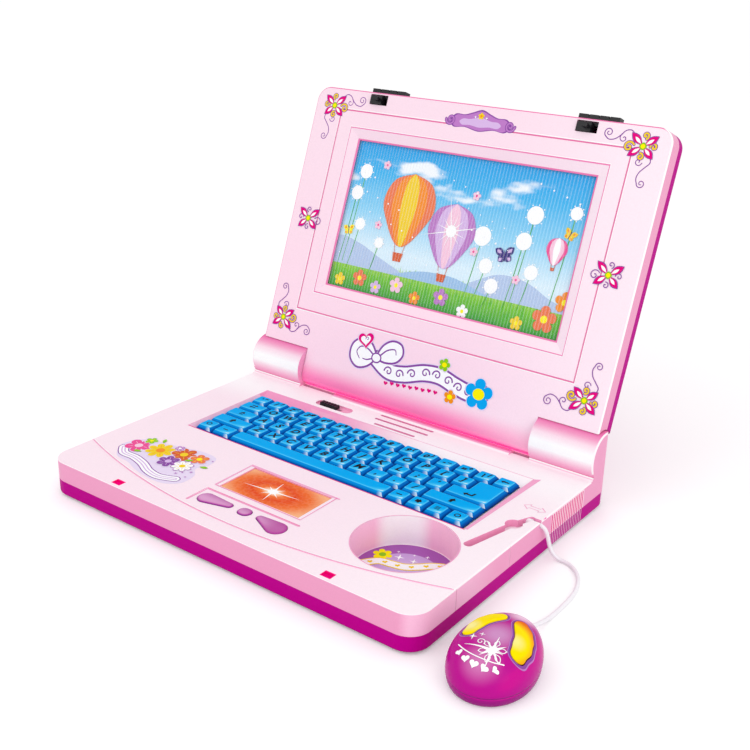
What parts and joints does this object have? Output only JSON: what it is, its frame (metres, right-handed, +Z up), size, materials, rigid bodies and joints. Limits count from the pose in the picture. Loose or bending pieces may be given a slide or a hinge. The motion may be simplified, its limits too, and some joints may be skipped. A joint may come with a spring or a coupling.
{
  "type": "toy laptop computer",
  "caption": "Clamshell toy laptop with a picture screen in its lid, a bevelled keyboard, touch buttons, a round mouse well and a corded egg-shaped mouse.",
  "frame": {"origin": "middle of the underside of the base, between the four rubber feet; the feet stand 1.2 mm lower", "axes": "+X to the right of someone typing, along the longest side; +Y to the back, towards the lid; +Z up out of the deck"},
  "size_m": [0.3614, 0.3106, 0.2467],
  "materials": {
    "pink_shell": "satin",
    "magenta_shell": "satin",
    "mouse_magenta": "glossy",
    "blue_keys": "glossy",
    "purple_buttons": "glossy",
    "yellow_buttons": "glossy",
    "orange_panel": "glossy",
    "black_plastic": "satin",
    "white_vinyl": "satin",
    "steel": "satin",
    "soft_feet": "matte",
    "board_green": "satin",
    "silicone_mat": "matte",
    "natural_plastic": "satin",
    "cell_sleeve": "glossy",
    "speaker_metal": "satin",
    "lamp_lens": "glossy",
    "ribbed_window": "clear",
    "picture_card": "printed",
    "purple_label": "printed"
  },
  "bodies": {
    "base": {"base_top_shell": "pink_shell", "base_bottom_shell": "magenta_shell", "battery_door": "magenta_shell", "battery_door_screw": "steel", "case_screws": "steel", "rubber_feet": "soft_feet", "batteries": "cell_sleeve", "battery_contacts": "steel", "main_circuit_board": "board_green", "board_screws": "steel", "panel_lamps": "lamp_lens", "light_panel": "orange_panel", "power_switch_body": "black_plastic", "speaker": "speaker_metal", "key_guide_plate": "natural_plastic", "key_membrane": "silicone_mat", "key_contact_board": "board_green", "keyboard_screws": "steel", "cord_gland": "white_vinyl", "mouse_cord": "white_vinyl", "mouse_strain_relief": "white_vinyl", "mouse_top_shell": "mouse_magenta", "mouse_bottom_shell": "mouse_magenta", "mouse_circuit_board": "board_green", "mouse_screws": "steel", "well_label": "purple_label"},
    "lid": {"lid_front_frame": "pink_shell", "lid_back_cover": "magenta_shell", "lid_screws": "steel", "hinge_pin_left": "steel", "hinge_pin_right": "steel", "screen_window": "ribbed_window", "screen_picture_card": "picture_card", "screen_backing_plate": "natural_plastic", "screen_screws": "steel"},
    "keys_row_1": {"keys_row_1": "blue_keys"},
    "keys_row_2": {"keys_row_2": "blue_keys"},
    "keys_row_3": {"keys_row_3": "blue_keys"},
    "keys_row_4": {"keys_row_4": "blue_keys"},
    "keys_row_5": {"keys_row_5": "blue_keys"},
    "key_backspace": {"key_backspace": "blue_keys"},
    "key_tab": {"key_tab": "blue_keys"},
    "key_caps_lock": {"key_caps_lock": "blue_keys"},
    "key_enter": {"key_enter": "blue_keys"},
    "key_shift_left": {"key_shift_left": "blue_keys"},
    "key_shift_right": {"key_shift_right": "blue_keys"},
    "key_space_bar": {"key_space_bar": "blue_keys"},
    "button_left": {"button_left": "purple_buttons"},
    "button_centre": {"button_centre": "purple_buttons"},
    "button_right": {"button_right": "purple_buttons"},
    "power_switch_thumb": {"power_switch_thumb": "black_plastic"},
    "latch_left": {"latch_left": "black_plastic"},
    "latch_right": {"latch_right": "black_plastic"},
    "mouse_button_left": {"mouse_button_left": "yellow_buttons"},
    "mouse_button_right": {"mouse_button_right": "yellow_buttons"}
  },
  "joints": [
    {"name": "lid_hinge", "type": "hinge", "parent": "base", "child": "lid", "pos_m": [0, 0.101, 0.0387], "axis": [1, 0, 0], "range_deg": [-10, 110]},
    {"name": "keys_row_1_press", "type": "slide", "parent": "base", "child": "keys_row_1", "axis": [0, 0, -1], "range_m": [0, 0.0016], "stiffness_N_per_m": 300, "springref_m": -0.002},
    {"name": "keys_row_2_press", "type": "slide", "parent": "base", "child": "keys_row_2", "axis": [0, 0, -1], "range_m": [0, 0.0016], "stiffness_N_per_m": 300, "springref_m": -0.002},
    {"name": "keys_row_3_press", "type": "slide", "parent": "base", "child": "keys_row_3", "axis": [0, 0, -1], "range_m": [0, 0.0016], "stiffness_N_per_m": 300, "springref_m": -0.002},
    {"name": "keys_row_4_press", "type": "slide", "parent": "base", "child": "keys_row_4", "axis": [0, 0, -1], "range_m": [0, 0.0016], "stiffness_N_per_m": 300, "springref_m": -0.002},
    {"name": "keys_row_5_press", "type": "slide", "parent": "base", "child": "keys_row_5", "axis": [0, 0, -1], "range_m": [0, 0.0016], "stiffness_N_per_m": 300, "springref_m": -0.002},
    {"name": "key_backspace_press", "type": "slide", "parent": "base", "child": "key_backspace", "axis": [0, 0, -1], "range_m": [0, 0.0016], "stiffness_N_per_m": 120, "springref_m": -0.002},
    {"name": "key_tab_press", "type": "slide", "parent": "base", "child": "key_tab", "axis": [0, 0, -1], "range_m": [0, 0.0016], "stiffness_N_per_m": 120, "springref_m": -0.002},
    {"name": "key_caps_lock_press", "type": "slide", "parent": "base", "child": "key_caps_lock", "axis": [0, 0, -1], "range_m": [0, 0.0016], "stiffness_N_per_m": 120, "springref_m": -0.002},
    {"name": "key_enter_press", "type": "slide", "parent": "base", "child": "key_enter", "axis": [0, 0, -1], "range_m": [0, 0.0016], "stiffness_N_per_m": 120, "springref_m": -0.002},
    {"name": "key_shift_left_press", "type": "slide", "parent": "base", "child": "key_shift_left", "axis": [0, 0, -1], "range_m": [0, 0.0016], "stiffness_N_per_m": 120, "springref_m": -0.002},
    {"name": "key_shift_right_press", "type": "slide", "parent": "base", "child": "key_shift_right", "axis": [0, 0, -1], "range_m": [0, 0.0016], "stiffness_N_per_m": 120, "springref_m": -0.002},
    {"name": "key_space_bar_press", "type": "slide", "parent": "base", "child": "key_space_bar", "axis": [0, 0, -1], "range_m": [0, 0.0016], "stiffness_N_per_m": 120, "springref_m": -0.002},
    {"name": "power_switch_slide", "type": "slide", "parent": "base", "child": "power_switch_thumb", "axis": [1, 0, 0], "range_m": [0, 0.009]},
    {"name": "button_left_press", "type": "slide", "parent": "base", "child": "button_left", "axis": [0, 0, -1], "range_m": [0, 0.0008], "stiffness_N_per_m": 150, "springref_m": -0.002},
    {"name": "button_centre_press", "type": "slide", "parent": "base", "child": "button_centre", "axis": [0, 0, -1], "range_m": [0, 0.0008], "stiffness_N_per_m": 150, "springref_m": -0.002},
    {"name": "button_right_press", "type": "slide", "parent": "base", "child": "button_right", "axis": [0, 0, -1], "range_m": [0, 0.0008], "stiffness_N_per_m": 150, "springref_m": -0.002},
    {"name": "latch_left_slide", "type": "slide", "parent": "lid", "child": "latch_left", "axis": [1, 0, 0], "range_m": [0, 0.003]},
    {"name": "latch_right_slide", "type": "slide", "parent": "lid", "child": "latch_right", "axis": [1, 0, 0], "range_m": [0, 0.003]},
    {"name": "mouse_button_left_click", "type": "slide", "parent": "base", "child": "mouse_button_left", "axis": [0, 0, -1], "range_m": [0, 0.0008], "stiffness_N_per_m": 150, "springref_m": -0.002},
    {"name": "mouse_button_right_click", "type": "slide", "parent": "base", "child": "mouse_button_right", "axis": [0, 0, -1], "range_m": [0, 0.0008], "stiffness_N_per_m": 150, "springref_m": -0.002}
  ]
}
